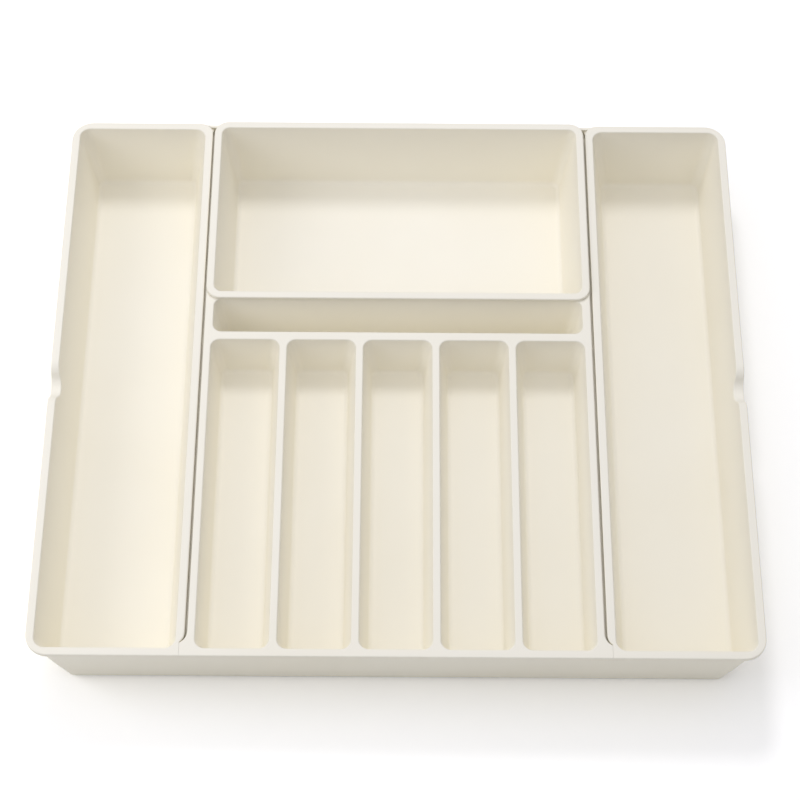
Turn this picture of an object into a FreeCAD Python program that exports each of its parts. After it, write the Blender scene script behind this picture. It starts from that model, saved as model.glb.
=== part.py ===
import FreeCAD, Part
import math
import os

# Cutlery tray: a main tray with narrow compartments and a rear bay, two side trays that slide out of it,
# and a rear tray that lifts out of the bay. Millimetres, +Z up, +X to the right, +Y to the back.
# The origin is under the middle of the tray, on the surface it stands on.

# Overall sizes, measured at the rims with the side trays pushed in
overall_width = 450.0
overall_depth = 400.0
rim_top = 56.0              # top of the main tray's rim above the surface
base_gap = 1.2              # surface to the underside of the main tray

# Mouldings
wall = 2.2
floor_thickness = 2.2
base_thickness = 2.0        # decks under the side trays and the floor of the rear bay
rim_edge_radius = 0.8
end_lean_deg = 10.5         # front and back walls lean in towards the floor
side_lean_deg = 10.0        # left and right walls

# Main tray
centre_width = 253.7        # over the rims of its middle section
main_lip = 0.7              # rim edge out past the front and back walls
main_corner = 8.5           # back corners of its rim
wing_setback = 12.0         # outer edge to the end of the front and back walls, at the ledge
wing_edge_radius = 2.0
main_bottom_radius = 1.8
side_bay_corner = 7.0       # where a bay for a side tray meets the middle section
compartment_count = 5
compartment_width = 45.1
compartment_rear = 24.9     # Y of the compartments' rear edge at the rim
compartment_depth = 31.5
compartment_corner = 6.5
compartment_floor_corner = 5.5
compartment_floor_radius = 3.5
divider_width = 4.7
front_rim_width = 5.2
cross_divider_width = 5.9
trough_rim_width = 5.5      # beside the finger trough in front of the rear tray
trough_depth = 40.0
trough_corner = 6.0
trough_floor_corner = 4.6
trough_floor_radius = 4.2
bay_corner = 6.0            # of the bay that holds the rear tray
bay_floor_corner = 7.0
bay_floor_radius = 5.0
hollow_drop = 8.0           # rim down to the top of the hollow under each divider
partition_hollow_drop = 14.0  # the same in the wall between the trough and the bay

# Side trays
slit_width = 1.5            # between a side tray's rim and the main tray's rim
side_rim_width = 5.2
side_rim_thickness = 2.5
side_lip_depth = 6.5        # rim's top to the lower edge of the lip along the slit
side_outer_corner = 14.0
side_inner_corner = 8.5
side_pocket_corner = 7.0
side_floor_corner = 6.0
side_floor_radius = 3.5
hook_setback = 7.2          # front edge to the lowest point of the round corner beside the slit
hook_turn_deg = 50.0        # how far round that corner the slit runs
hook_mouth = 0.3            # what is left of the slit where it ends
butt_gap = 0.1              # between rim ends that meet when a side tray is pushed in
notch_length = 14.0         # back edge to the front of the cut round the main tray's corner
strip_width = 2.6           # raised strip behind the slit's open end
strip_drop = 1.2            # rim down to that strip

# Finger dip in the outer rim of each side tray
dip_middle = -9.0           # Y of its lowest point
dip_half_length = 16.0
dip_drop = 9.0

# Guide pegs under the side trays, in slots of the deck
peg_width = 7.4
peg_setback = 22.0          # inner edge of a side tray's rim to the peg's middle
peg_spread = 240.0          # front peg to back peg
slot_margin = 4.4           # outer end of a slot to the deck's outer edge

# Rear tray
rear_front = 55.7           # Y of its rim's front edge
rear_rim_width = 5.0
rear_rim_thickness = 2.0
rear_floor_gap = 1.9        # under its floor
rear_corner = 9.5
rear_pocket_corner = 5.5
rear_floor_corner = 6.0
rear_floor_radius = 3.5
rear_overhang = 0.8         # rim's front edge out past the trough's back edge

# Clearances
seat_gap = 0.3              # under a rim that rests on another rim
deck_gap = 0.6              # under a side tray's floor
side_gap = 0.4              # beside a wall that slides past or drops in beside another
peg_gap = 0.3               # beside a guide peg in its slot

# Rubber feet under the main tray, and glides under the outer edge of the side trays
foot_diameter = 14.0
foot_inset_x = 48.0         # from the rim's outer edges to a foot's middle
foot_inset_y = 36.0
glide_diameter = 9.0
glide_inset_x = 27.0
glide_inset_y = 60.0
glide_notch_gap = 1.0       # round a glide in its notch of the deck's edge
socket_depth = 0.6
socket_gap = 0.2            # round a foot or glide in its socket
pad_edge_radius = 0.4

# Making
overrun = 5.0               # cuts run this far past what they cut
touch = 0.001               # two heights closer than this are the same

Vector = FreeCAD.Vector
ORIGIN = Vector(0, 0, 0)
ALONG_X = Vector(1, 0, 0)
UP = Vector(0, 0, 1)

end_lean = math.tan(math.radians(end_lean_deg))
side_lean = math.tan(math.radians(side_lean_deg))
bin_leans = (side_lean, side_lean, end_lean, end_lean)

half_width = overall_width / 2
half_depth = overall_depth / 2
half_centre = centre_width / 2
deck_top = base_gap + base_thickness
ledge_top = rim_top - side_rim_thickness - seat_gap
side_inner = half_centre + slit_width
side_underside = deck_top + deck_gap
side_floor = side_underside + floor_thickness
compartment_front = front_rim_width - half_depth
compartment_floor = rim_top - compartment_depth
trough_floor = rim_top - trough_depth
shelf_top = rim_top - side_lip_depth - seat_gap
shelf_end = side_inner + wall
trough_front = compartment_rear + cross_divider_width
trough_rear = rear_front + rear_overhang
rear_top = rim_top + seat_gap + rear_rim_thickness
rear_underside = deck_top + rear_floor_gap

# Round front corner of the left side tray's rim beside the slit, and the straight ends that meet there
hook_turn = math.radians(hook_turn_deg)
hook_x = -side_inner - side_inner_corner
hook_y = hook_setback + side_inner_corner - half_depth
butt_x = hook_x + side_inner_corner * math.cos(hook_turn)
butt_y = hook_y - side_inner_corner * math.sin(hook_turn)
ear_end = -butt_x - butt_gap

# Insides of the side tray and rear tray at their rims: left, right, front, back
side_rim = (side_rim_width - half_width, -side_inner - side_rim_width,
            side_rim_width - half_depth, half_depth - side_rim_width)
rear_rim = (rear_rim_width - half_centre, half_centre - rear_rim_width,
            rear_front + rear_rim_width, half_depth - rear_rim_width)

# Inside of the bay that holds the rear tray, at the main tray's rim: left, right, front, back
rear_drop = rear_top - rim_top
rear_fit = wall + side_gap
bay_rim = (rear_rim[0] + side_lean * rear_drop - rear_fit, rear_rim[1] - side_lean * rear_drop + rear_fit,
           rear_rim[2] + end_lean * rear_drop - rear_fit, rear_rim[3] - end_lean * rear_drop + rear_fit)

# Places of the guide pegs of the left side tray
peg_x = -side_inner - peg_setback
peg_rows = (-peg_spread / 2, peg_spread / 2)


def leaning_box(rim, rim_z, low_z, high_z, leans):
    """Solid whose four walls lean in going down; rim is left, right, front, back at rim_z."""
    def corners(z):
        drop = rim_z - z
        x0 = rim[0] + leans[0] * drop
        x1 = rim[1] - leans[1] * drop
        y0 = rim[2] + leans[2] * drop
        y1 = rim[3] - leans[3] * drop
        return [Vector(x0, y0, z), Vector(x1, y0, z), Vector(x1, y1, z), Vector(x0, y1, z)]
    low = corners(low_z)
    high = corners(high_z)
    loops = [low[::-1], high]
    for i in range(4):
        j = (i + 1) % 4
        loops.append([low[i], low[j], high[j], high[i]])
    faces = [Part.Face(Part.makePolygon(loop + loop[:1])) for loop in loops]
    return Part.makeSolid(Part.makeShell(faces))


def three_points(edge):
    first, last = edge.ParameterRange
    return [edge.valueAt(t) for t in (first, (first + last) / 2, last)]


def uprights(solid):
    """Edges that run from the bottom of a box to its top."""
    heights = [v.Z for v in solid.Vertexes]
    rise = (max(heights) - min(heights)) / 2
    return [e for e in solid.Edges if abs(e.Vertexes[0].Z - e.Vertexes[-1].Z) > rise]


def floor_edges(solid):
    lowest = min(v.Z for v in solid.Vertexes)
    return [e for e in solid.Edges if all(p.z < lowest + touch for p in three_points(e))]


def rounded_bin(rim, rim_z, low_z, high_z, leans, top_corner, low_corner, floor_radius):
    """Leaning box whose round corners open out towards a round-edged floor."""
    box = leaning_box(rim, rim_z, low_z, high_z, leans)
    for foot in [v.Point for v in box.Vertexes if v.Z < low_z + touch]:
        edge = min(uprights(box), key=lambda e: min(v.Point.distanceToPoint(foot) for v in e.Vertexes))
        starts_low = edge.Vertexes[0].Z < edge.Vertexes[-1].Z
        radii = (low_corner, top_corner) if starts_low else (top_corner, low_corner)
        box = box.makeFillet(radii[0], radii[1], [edge])
    return box.makeFillet(floor_radius, floor_edges(box))


def grown(rim, amount):
    return (rim[0] - amount, rim[1] + amount, rim[2] - amount, rim[3] + amount)


def block(x0, x1, y0, y1, z0, z1):
    return Part.makeBox(x1 - x0, y1 - y0, z1 - z0, Vector(x0, y0, z0))


def mirrored(shape):
    return shape.mirror(ORIGIN, ALONG_X)


def line(a, b):
    return Part.LineSegment(a, b).toShape()


def arc(centre, radius, start_deg, end_deg):
    """Arc in plan from one angle to the other, at the centre's height."""
    def at(deg):
        turn = math.radians(deg)
        return centre + Vector(radius * math.cos(turn), radius * math.sin(turn), 0)
    return Part.Arc(at(start_deg), at((start_deg + end_deg) / 2), at(end_deg)).toShape()


def closed_face(edges):
    """Face inside edges given in order, with straight runs put in where two don't meet."""
    loop = []
    for i, edge in enumerate(edges):
        loop.append(edge)
        end = edge.valueAt(edge.LastParameter)
        following = edges[(i + 1) % len(edges)]
        start = following.valueAt(following.FirstParameter)
        if end.distanceToPoint(start) > touch:
            loop.append(line(end, start))
    return Part.Face(Part.Wire(loop))


def rounded_plate(x0, x1, y0, y1, z0, z1, corner):
    plate = block(x0, x1, y0, y1, z0, z1)
    return plate.makeFillet(corner, uprights(plate))


def soften_rim(solid, rim_height, end_x=None):
    """Rounds the edges along the rim but for the ends at end_x; rim_height gives the rim's Z at a point."""
    solid = solid.removeSplitter()
    edges = []
    for edge in solid.Edges:
        points = three_points(edge)
        on_rim = all(abs(p.z - rim_height(p)) < touch for p in points)
        on_end = end_x is not None and all(abs(abs(p.x) - end_x) < touch for p in points)
        if on_rim and not on_end:
            edges.append(edge)
    return solid.makeFillet(rim_edge_radius, edges)


def export(shape, node):
    tidy = shape.removeSplitter()
    solid = tidy.Solids[0]
    solid.exportStep("parts/" + node + ".step")
    print(node, "solids", len(tidy.Solids), "valid", solid.isValid(), "volume", round(solid.Volume))


def pad_at(x, y, z_low, z_high, diameter):
    pad = Part.makeCylinder(diameter / 2, z_high - z_low, Vector(x, y, z_low))
    return pad.makeFillet(pad_edge_radius, floor_edges(pad))


def socket_at(x, y, z_low, diameter):
    radius = diameter / 2 + socket_gap
    return Part.makeCylinder(radius, socket_depth + overrun, Vector(x, y, z_low - overrun))


def feet_places():
    x = half_width - foot_inset_x
    y = half_depth - foot_inset_y
    return {"foot_front_left": (-x, -y), "foot_front_right": (x, -y),
            "foot_back_left": (-x, y), "foot_back_right": (x, y)}


def glide_places():
    x = glide_inset_x - half_width
    y = half_depth - glide_inset_y
    return {"front": (x, -y), "back": (x, y)}


def main_body():
    """Solid body up to the ledge that carries the side trays."""
    wing_end = half_width - wing_setback
    outer = (-wing_end, wing_end, main_lip - half_depth, half_depth - main_lip)
    body = leaning_box(outer, ledge_top, base_gap, ledge_top, bin_leans)
    body = body.makeFillet(wing_edge_radius, uprights(body))
    return body.makeFillet(main_bottom_radius, floor_edges(body))


def main_rim():
    """Rim of the middle section, with an ear round each side tray's front corner."""
    radius = side_inner_corner
    ear_x = half_centre + radius
    ear_turn = math.acos((ear_x - ear_end) / radius)
    ear_y = butt_y - hook_mouth + radius * math.sin(ear_turn)
    ear_deg = math.degrees(ear_turn)
    corner_x = half_centre - main_corner
    corner_y = half_depth - main_corner
    outline = [
        arc(Vector(-corner_x, corner_y, ledge_top), main_corner, 90, 180),
        arc(Vector(-ear_x, ear_y, ledge_top), radius, 0, -ear_deg),
        line(Vector(-ear_end, -half_depth, ledge_top), Vector(ear_end, -half_depth, ledge_top)),
        arc(Vector(ear_x, ear_y, ledge_top), radius, 180 + ear_deg, 180),
        arc(Vector(corner_x, corner_y, ledge_top), main_corner, 0, 90),
    ]
    return closed_face(outline).extrude(UP * (rim_top - ledge_top))


def back_strip():
    """Strip that closes the left slit's open end at the back, round the corner of the side tray's rim."""
    right = main_corner - half_centre
    back = half_depth - main_lip
    corner_y = half_depth - side_inner_corner
    strip = block(hook_x, right, half_depth - strip_width, back, ledge_top, rim_top - strip_drop)
    corner = Part.makeCylinder(side_inner_corner + side_gap, rim_top - ledge_top,
                               Vector(hook_x, corner_y, ledge_top))
    return strip.cut(corner)


def notch_cut():
    """Lowers the middle section's back left corner to the shelf, round the corner of its rim."""
    corner_x = main_corner - half_centre
    corner_y = half_depth - main_corner
    rim_corner = Part.makeCylinder(main_corner, ledge_top - shelf_top, Vector(corner_x, corner_y, shelf_top))
    return block(-side_inner, corner_x, half_depth - notch_length, half_depth - strip_width,
                 shelf_top, ledge_top).cut(rim_corner)


def side_bay():
    """Cuts for the left side tray: its space over the deck with a shelf under the slit, slots for the
    guide pegs and notches for the glides."""
    outside = -half_width - overrun
    below = base_gap - overrun
    rim = (outside, -half_centre, side_rim[2] - wall - side_gap, side_rim[3] + wall + side_gap)
    space = leaning_box(rim, rim_top, deck_top, rim_top + overrun, (0, -side_lean, end_lean, end_lean))
    inner_corners = [e for e in uprights(space) if e.Vertexes[0].X > -half_width]
    space = space.makeFillet(side_bay_corner, inner_corners)
    shelf = block(-shelf_end, 0, -half_depth, half_depth, shelf_top - wall, shelf_top)
    cuts = [space.cut(shelf), notch_cut()]
    deck_end = wing_setback - half_width + side_lean * (ledge_top - deck_top)
    reach = peg_width / 2 + peg_gap
    for y in peg_rows:
        cuts.append(block(deck_end + slot_margin, peg_x + reach, y - reach, y + reach, below, deck_top))
    reach = glide_diameter / 2 + glide_notch_gap
    for x, y in glide_places().values():
        notch = block(outside, x, y - reach, y + reach, below, deck_top)
        cuts.append(notch.fuse(Part.makeCylinder(reach, deck_top - below, Vector(x, y, below))))
    return cuts


def compartment_lefts():
    """X of the left edge of each narrow compartment at the rim."""
    pitch = compartment_width + divider_width
    first = -(compartment_count * pitch - divider_width) / 2
    return [first + i * pitch for i in range(compartment_count)]


def pocket_tools():
    """Insides of the narrow compartments, the finger trough and the rear bay."""
    above = rim_top + overrun
    tools = []
    for left in compartment_lefts():
        rim = (left, left + compartment_width, compartment_front, compartment_rear)
        tools.append(rounded_bin(rim, rim_top, compartment_floor, above, bin_leans,
                                 compartment_corner, compartment_floor_corner, compartment_floor_radius))
    end = half_centre - trough_rim_width
    tools.append(rounded_bin((-end, end, trough_front, trough_rear), rim_top, trough_floor, above, bin_leans,
                             trough_corner, trough_floor_corner, trough_floor_radius))
    tools.append(rounded_bin(bay_rim, rim_top, deck_top, above, bin_leans,
                             bay_corner, bay_floor_corner, bay_floor_radius))
    return tools


def hollow_tools():
    """Spaces open below: under the pocket floors and in the dividers."""
    below = base_gap - overrun
    end_run = wall / math.cos(math.radians(end_lean_deg))
    divider_run = wall / math.cos(math.radians(side_lean_deg))

    # Recesses under the floors of the compartments and the trough
    tools = []
    side = half_centre - wall
    cross_middle = compartment_rear + cross_divider_width / 2
    recesses = [(compartment_front, trough_front - end_run, compartment_floor),
                (cross_middle, bay_rim[2] - end_run, trough_floor)]
    for front, rear, floor in recesses:
        tools.append(leaning_box((-side, side, front, rear), rim_top, below, floor - floor_thickness,
                                 (side_lean, side_lean, end_lean, -end_lean)))

    # Dividers between compartments
    top = rim_top - hollow_drop
    floor_run = end_lean * compartment_depth
    front = compartment_front + floor_run + compartment_floor_corner
    rear = compartment_rear - floor_run - compartment_floor_corner
    half = divider_width / 2 + side_lean * hollow_drop - divider_run
    for left in compartment_lefts()[1:]:
        middle = left - divider_width / 2
        tools.append(leaning_box((middle - half, middle + half, front, rear), top, below, top,
                                 (-side_lean, -side_lean, 0, 0)))

    # Cross divider, and the wall between the trough and the bay
    reach = half_centre - trough_rim_width - side_lean * trough_depth - trough_floor_corner
    half = cross_divider_width / 2 + end_lean * hollow_drop - end_run
    tools.append(leaning_box((-reach, reach, cross_middle - half, cross_middle + half), top, below, top,
                             (0, 0, -end_lean, -end_lean)))
    top = rim_top - partition_hollow_drop
    middle = (trough_rear + bay_rim[2]) / 2
    half = (bay_rim[2] - trough_rear) / 2 + end_lean * partition_hollow_drop - end_run
    tools.append(leaning_box((-reach, reach, middle - half, middle + half), top, below, top,
                             (0, 0, -end_lean, -end_lean)))
    return tools


def main_tray():
    tray = main_body()
    for tool in side_bay():
        tray = tray.cut(tool).cut(mirrored(tool))
    strip = back_strip()
    tray = tray.fuse([main_rim(), strip, mirrored(strip)])
    for tool in pocket_tools() + hollow_tools():
        tray = tray.cut(tool)
    tray = soften_rim(tray, lambda p: rim_top, ear_end)
    for x, y in feet_places().values():
        tray = tray.cut(socket_at(x, y, base_gap, foot_diameter))
    return tray


def dip_depth(y):
    """How far the finger dip lies below the rim at y: two equal arcs on each side of its middle."""
    from_middle = abs(y - dip_middle)
    from_end = dip_half_length - from_middle
    if from_end <= 0:
        return 0.0
    turn = 2 * math.atan2(dip_drop, dip_half_length)
    radius = dip_half_length / (2 * math.sin(turn))
    if from_end < from_middle:
        return radius - math.sqrt(radius ** 2 - from_end ** 2)
    return dip_drop - radius + math.sqrt(radius ** 2 - from_middle ** 2)


def dip_curve(x, z_top, end_shares):
    """Arcs of the dip in the plane at x, between places given as shares of its half length."""
    edges = []
    for a, b in zip(end_shares, end_shares[1:]):
        points = []
        for share in (a, (a + b) / 2, b):
            y = dip_middle + share * dip_half_length
            points.append(Vector(x, y, z_top - dip_depth(y)))
        edges.append(Part.Arc(*points).toShape())
    return edges


def with_finger_dip(tray):
    """Cuts the dip through the outer wall and rim, and carries the rim's band along it."""
    forward_shares = (-1.0, -0.5, 0.5, 1.0)
    outside = -half_width - overrun
    above = rim_top + overrun
    ends = (dip_middle + dip_half_length, dip_middle - dip_half_length)
    top = line(Vector(outside, ends[0], above), Vector(outside, ends[1], above))
    curve = dip_curve(outside, rim_top, forward_shares)
    reach = side_rim_width + side_lean * (dip_drop + side_rim_thickness)
    cutter = closed_face(curve + [top]).extrude(ALONG_X * (overrun + reach))
    upper = dip_curve(-half_width, rim_top, forward_shares)
    lower = dip_curve(-half_width, rim_top - side_rim_thickness, forward_shares[::-1])
    band = closed_face(upper + lower).extrude(ALONG_X * reach)
    return tray.cut(cutter).fuse(band)


def left_side_tray():
    walls = rounded_bin(grown(side_rim, wall), rim_top, side_underside, rim_top, bin_leans,
                        side_pocket_corner + wall, side_floor_corner + wall,
                        side_floor_radius + floor_thickness)
    low = rim_top - side_rim_thickness
    corner_y = half_depth - side_inner_corner
    outer_x = side_outer_corner - half_width
    outline = [
        arc(Vector(hook_x, corner_y, low), side_inner_corner, 0, 90),
        arc(Vector(outer_x, half_depth - side_outer_corner, low), side_outer_corner, 90, 180),
        arc(Vector(outer_x, side_outer_corner - half_depth, low), side_outer_corner, 180, 270),
        line(Vector(butt_x, -half_depth, low), Vector(butt_x, butt_y, low)),
        arc(Vector(hook_x, hook_y, low), side_inner_corner, -hook_turn_deg, 0),
    ]
    rim = closed_face(outline).extrude(UP * side_rim_thickness)
    lip = block(-side_inner - wall, -side_inner, hook_y, corner_y, rim_top - side_lip_depth, low)
    tray = walls.fuse([rim, lip])
    tray = with_finger_dip(tray)
    inside = rounded_bin(side_rim, rim_top, side_floor, rim_top + overrun, bin_leans,
                         side_pocket_corner, side_floor_corner, side_floor_radius)
    tray = tray.cut(inside)
    tray = soften_rim(tray, lambda p: rim_top - (dip_depth(p.y) if p.x < outer_x else 0), -butt_x)
    half_peg = peg_width / 2
    for y in peg_rows:
        tray = tray.fuse(block(peg_x - half_peg, peg_x + half_peg, y - half_peg, y + half_peg,
                               base_gap, side_floor - floor_thickness / 2))
    for x, y in glide_places().values():
        tray = tray.cut(socket_at(x, y, side_underside, glide_diameter))
    return tray


def rear_tray():
    walls = rounded_bin(grown(rear_rim, wall), rear_top, rear_underside, rear_top, bin_leans,
                        rear_pocket_corner + wall, rear_floor_corner + wall,
                        rear_floor_radius + floor_thickness)
    rim = rounded_plate(-half_centre, half_centre, rear_front, half_depth,
                        rear_top - rear_rim_thickness, rear_top, rear_corner)
    inside = rounded_bin(rear_rim, rear_top, rear_underside + floor_thickness, rear_top + overrun, bin_leans,
                         rear_pocket_corner, rear_floor_corner, rear_floor_radius)
    return soften_rim(walls.fuse(rim).cut(inside), lambda p: rear_top)


os.makedirs("parts", exist_ok=True)
left = left_side_tray()
export(main_tray(), "main_tray")
export(left, "left_side_tray")
export(mirrored(left), "right_side_tray")
export(rear_tray(), "rear_tray")
for node, (x, y) in feet_places().items():
    export(pad_at(x, y, 0, base_gap + socket_depth, foot_diameter), node)
for place, (x, y) in glide_places().items():
    glide = pad_at(x, y, 0, side_underside + socket_depth, glide_diameter)
    export(glide, "left_glide_" + place)
    export(mirrored(glide), "right_glide_" + place)
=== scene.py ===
import math

import bmesh
import bpy
from mathutils import Matrix, Vector

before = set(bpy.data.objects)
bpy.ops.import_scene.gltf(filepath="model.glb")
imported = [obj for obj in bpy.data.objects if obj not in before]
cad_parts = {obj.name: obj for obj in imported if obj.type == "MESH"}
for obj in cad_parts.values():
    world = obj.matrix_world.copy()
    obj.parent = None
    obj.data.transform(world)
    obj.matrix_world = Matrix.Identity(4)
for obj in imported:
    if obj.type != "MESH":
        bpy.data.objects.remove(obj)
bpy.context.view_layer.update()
scene = bpy.context.scene

# Patterns of a moulded surface: scales are per metre and depths are in metres
grain_detail = 2.0
grain_contrast = 0.6
grain_strength = 0.35
wave_scale = 26.0
wave_detail = 2.0
wave_contrast = 0.45
wave_depth = 0.0006
wave_strength = 0.12
cloud_scale = 9.0
cloud_detail = 3.0
cloud_contrast = 0.5
sheen_swing = 0.16         # roughness from the glossiest patch to the dullest
tone_start = 0.3           # part of the clouds' range over which the colour goes from dark to light
tone_end = 0.7
plastic_ior = 1.46
plastic_specular = 0.4

# Floor and light: lengths in metres, lamps in watts
floor_half_width = 6.0
paper_colour = (0.95, 0.94, 0.89, 1.0)
paper_lift = 0.345         # added to the paper's colour where it is seen, so that it comes out white
light_colour = (0.98, 0.985, 1.05)
overhead_strength = 0.852
horizon_strength = 0.045
backdrop_strength = 0.79   # tone of the far floor, so that no horizon shows behind the tray
key_place = (-0.12, 1.15, 1.75)
key_size = 0.5
key_watts = 8.9
side_place = (-0.95, -0.15, 0.65)
side_size = 0.7
side_watts = 2.9

# Camera, from the photograph's perspective
picture_pixels = 800.0
focal_pixels = 2271.8
camera_place = (-0.0015, -0.75578, 1.31873)
pitch_deg = 59.786         # down from level
yaw_deg = 0.245
roll_deg = 0.597
sensor_width_mm = 36.0
far_clip = 50.0


# Shader helpers
def new_group(name, inputs, outputs):
    """Node group with the named sockets, each given as its name and type."""
    group = bpy.data.node_groups.new(name, "ShaderNodeTree")
    for label, kind in inputs:
        group.interface.new_socket(label, in_out="INPUT", socket_type=kind)
    for label, kind in outputs:
        group.interface.new_socket(label, in_out="OUTPUT", socket_type=kind)
    return group, group.nodes.new("NodeGroupInput"), group.nodes.new("NodeGroupOutput")


def feed(tree, socket, value):
    """Gives a socket a number, or links it to another node's output."""
    if isinstance(value, (int, float)):
        socket.default_value = value
    else:
        tree.links.new(value, socket)


def math_node(tree, operation, *values):
    made = tree.nodes.new("ShaderNodeMath")
    made.operation = operation
    for socket, value in zip(made.inputs, values):
        feed(tree, socket, value)
    return made.outputs[0]


def noise(tree, place, scale, detail, contrast):
    made = tree.nodes.new("ShaderNodeTexNoise")
    tree.links.new(place, made.inputs["Vector"])
    feed(tree, made.inputs["Scale"], scale)
    feed(tree, made.inputs["Detail"], detail)
    feed(tree, made.inputs["Roughness"], contrast)
    return made.outputs["Fac"]


def bump(tree, height, strength, depth):
    made = tree.nodes.new("ShaderNodeBump")
    tree.links.new(height, made.inputs["Height"])
    feed(tree, made.inputs["Strength"], strength)
    feed(tree, made.inputs["Distance"], depth)
    return made


def seen_ray(tree):
    """1 for rays by which the camera, a reflection or a clear body sees the background, else 0."""
    path = tree.nodes.new("ShaderNodeLightPath")
    mirrored = math_node(tree, "MAXIMUM", path.outputs["Is Glossy Ray"], path.outputs["Is Transmission Ray"])
    return math_node(tree, "MAXIMUM", path.outputs["Is Camera Ray"], mirrored)


# Materials of the pieces
def moulded_surface():
    """Moulded plastic: a fine spark-eroded grain, slow tone changes and a patchy sheen."""
    group, given, result = new_group(
        "moulded_surface",
        inputs=[("Grain Size", "NodeSocketFloat"), ("Grain Depth", "NodeSocketFloat"),
                ("Roughness", "NodeSocketFloat")],
        outputs=[("Tone", "NodeSocketFloat"), ("Roughness", "NodeSocketFloat"),
                 ("Normal", "NodeSocketVector")])
    links = group.links
    place = group.nodes.new("ShaderNodeTexCoord").outputs["Object"]
    grain = noise(group, place, given.outputs["Grain Size"], grain_detail, grain_contrast)
    waves = noise(group, place, wave_scale, wave_detail, wave_contrast)
    clouds = noise(group, place, cloud_scale, cloud_detail, cloud_contrast)

    fine = bump(group, grain, grain_strength, given.outputs["Grain Depth"])
    ripple = bump(group, waves, wave_strength, wave_depth)
    links.new(fine.outputs["Normal"], ripple.inputs["Normal"])
    links.new(ripple.outputs["Normal"], result.inputs["Normal"])

    links.new(clouds, result.inputs["Tone"])
    patch = math_node(group, "MULTIPLY_ADD", waves, sheen_swing, -sheen_swing / 2)
    links.new(math_node(group, "ADD", given.outputs["Roughness"], patch), result.inputs["Roughness"])
    return group


def plastic(name, group, dark, light, grain_size, grain_depth, roughness):
    """Material whose colour runs between two shades with the group's tone."""
    made = bpy.data.materials.new(name)
    made.use_nodes = True
    tree = made.node_tree
    shader = tree.nodes["Principled BSDF"]
    surface = tree.nodes.new("ShaderNodeGroup")
    surface.node_tree = group
    surface.inputs["Grain Size"].default_value = grain_size
    surface.inputs["Grain Depth"].default_value = grain_depth
    surface.inputs["Roughness"].default_value = roughness
    ramp = tree.nodes.new("ShaderNodeValToRGB")
    ends = ramp.color_ramp.elements
    ends[0].position = tone_start
    ends[0].color = (*dark, 1.0)
    ends[1].position = tone_end
    ends[1].color = (*light, 1.0)
    tree.links.new(surface.outputs["Tone"], ramp.inputs["Fac"])
    tree.links.new(ramp.outputs["Color"], shader.inputs["Base Color"])
    tree.links.new(surface.outputs["Roughness"], shader.inputs["Roughness"])
    tree.links.new(surface.outputs["Normal"], shader.inputs["Normal"])
    shader.inputs["IOR"].default_value = plastic_ior
    shader.inputs["Specular IOR Level"].default_value = plastic_specular
    return made


moulding = moulded_surface()
cream = plastic("cream_plastic", moulding, dark=(0.952, 0.906, 0.770), light=(0.966, 0.925, 0.799),
                grain_size=2200.0, grain_depth=0.00003, roughness=0.5)
rubber = plastic("foot_rubber", moulding, dark=(0.46, 0.44, 0.40), light=(0.52, 0.50, 0.46),
                 grain_size=900.0, grain_depth=0.00006, roughness=0.82)
glide = plastic("glide_plastic", moulding, dark=(0.76, 0.745, 0.70), light=(0.80, 0.785, 0.74),
                grain_size=1500.0, grain_depth=0.00002, roughness=0.34)

looks = {"tray": cream, "foot": rubber, "glide": glide}
for name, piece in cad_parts.items():
    look = next(value for key, value in looks.items() if key in name)
    for index in range(len(piece.data.materials)):
        piece.data.materials[index] = look


# Floor
def paper():
    """Pale matte paper, paler still where it is seen, that keeps the tray's shadow."""
    made = bpy.data.materials.new("paper_floor")
    made.use_nodes = True
    tree = made.node_tree
    tree.nodes.remove(tree.nodes["Principled BSDF"])
    diffuse = tree.nodes.new("ShaderNodeBsdfDiffuse")
    diffuse.inputs["Color"].default_value = paper_colour
    lift = tree.nodes.new("ShaderNodeBsdfDiffuse")
    tree.links.new(math_node(tree, "MULTIPLY", seen_ray(tree), paper_lift), lift.inputs["Color"])
    both = tree.nodes.new("ShaderNodeAddShader")
    tree.links.new(diffuse.outputs[0], both.inputs[0])
    tree.links.new(lift.outputs[0], both.inputs[1])
    tree.links.new(both.outputs[0], tree.nodes["Material Output"].inputs["Surface"])
    return made


floor_mesh = bpy.data.meshes.new("floor")
build = bmesh.new()
bmesh.ops.create_grid(build, x_segments=1, y_segments=1, size=floor_half_width)
build.to_mesh(floor_mesh)
build.free()
floor_mesh.materials.append(paper())
floor = bpy.data.objects.new("floor", floor_mesh)
scene.collection.objects.link(floor)


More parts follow.
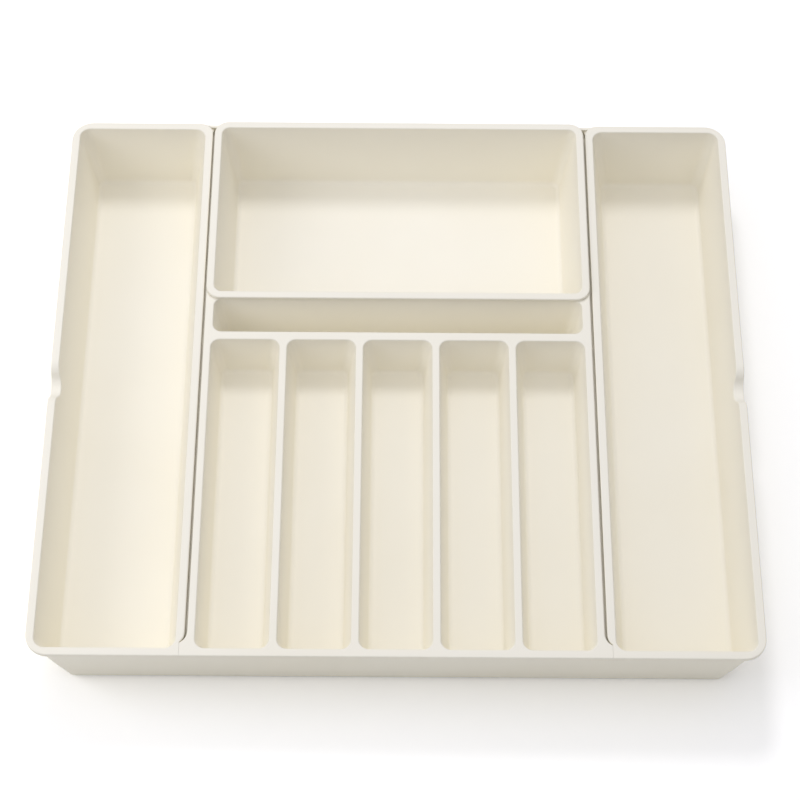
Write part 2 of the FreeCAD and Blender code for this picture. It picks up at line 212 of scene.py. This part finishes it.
# Light: a pale surround, brightest overhead, a soft lamp behind the tray and a weak one low at its left
def studio():
    made = bpy.data.worlds.new("studio")
    made.use_nodes = True
    tree = made.node_tree
    surround = tree.nodes["Background"]
    surround.inputs["Color"].default_value = (*light_colour, 1.0)
    way = tree.nodes.new("ShaderNodeSeparateXYZ")
    tree.links.new(tree.nodes.new("ShaderNodeTexCoord").outputs["Generated"], way.inputs[0])
    height = math_node(tree, "MAXIMUM", way.outputs["Z"], 0.0)
    light = math_node(tree, "MULTIPLY_ADD", height, overhead_strength, horizon_strength)
    backdrop = math_node(tree, "MULTIPLY", seen_ray(tree), backdrop_strength)
    tree.links.new(math_node(tree, "MAXIMUM", backdrop, light), surround.inputs["Strength"])
    return made


def soft_lamp(name, place, size, watts):
    """Round lamp that faces the tray."""
    data = bpy.data.lights.new(name, "AREA")
    data.shape = "DISK"
    data.size = size
    data.energy = watts
    data.color = light_colour
    lamp = bpy.data.objects.new(name, data)
    scene.collection.objects.link(lamp)
    lamp.location = place
    lamp.rotation_mode = "QUATERNION"
    lamp.rotation_quaternion = (-Vector(place)).to_track_quat("-Z", "Y")


scene.world = studio()
soft_lamp("key", key_place, key_size, key_watts)
soft_lamp("side", side_place, side_size, side_watts)


# Camera
def photo_pose():
    """Camera's place and turn: its axes are turned down by the pitch, then by the yaw and the roll."""
    pitch = math.radians(pitch_deg)
    right = Vector((1.0, 0.0, 0.0))
    down = Vector((0.0, -math.sin(pitch), -math.cos(pitch)))
    ahead = Vector((0.0, math.cos(pitch), -math.sin(pitch)))
    turned = Matrix((right, down, ahead)) @ Matrix.Rotation(math.radians(yaw_deg), 3, "Z")
    turned = Matrix.Rotation(math.radians(roll_deg), 3, "Z") @ turned
    pose = Matrix((turned.row[0], -turned.row[1], -turned.row[2])).transposed().to_4x4()
    pose.translation = Vector(camera_place)
    return pose


camera_data = bpy.data.cameras.new("camera")
camera_data.sensor_width = sensor_width_mm
camera_data.lens = sensor_width_mm * focal_pixels / picture_pixels
camera_data.clip_end = far_clip
camera = bpy.data.objects.new("camera", camera_data)
scene.collection.objects.link(camera)
camera.matrix_world = photo_pose()
scene.camera = camera

scene.view_settings.view_transform = "Standard"
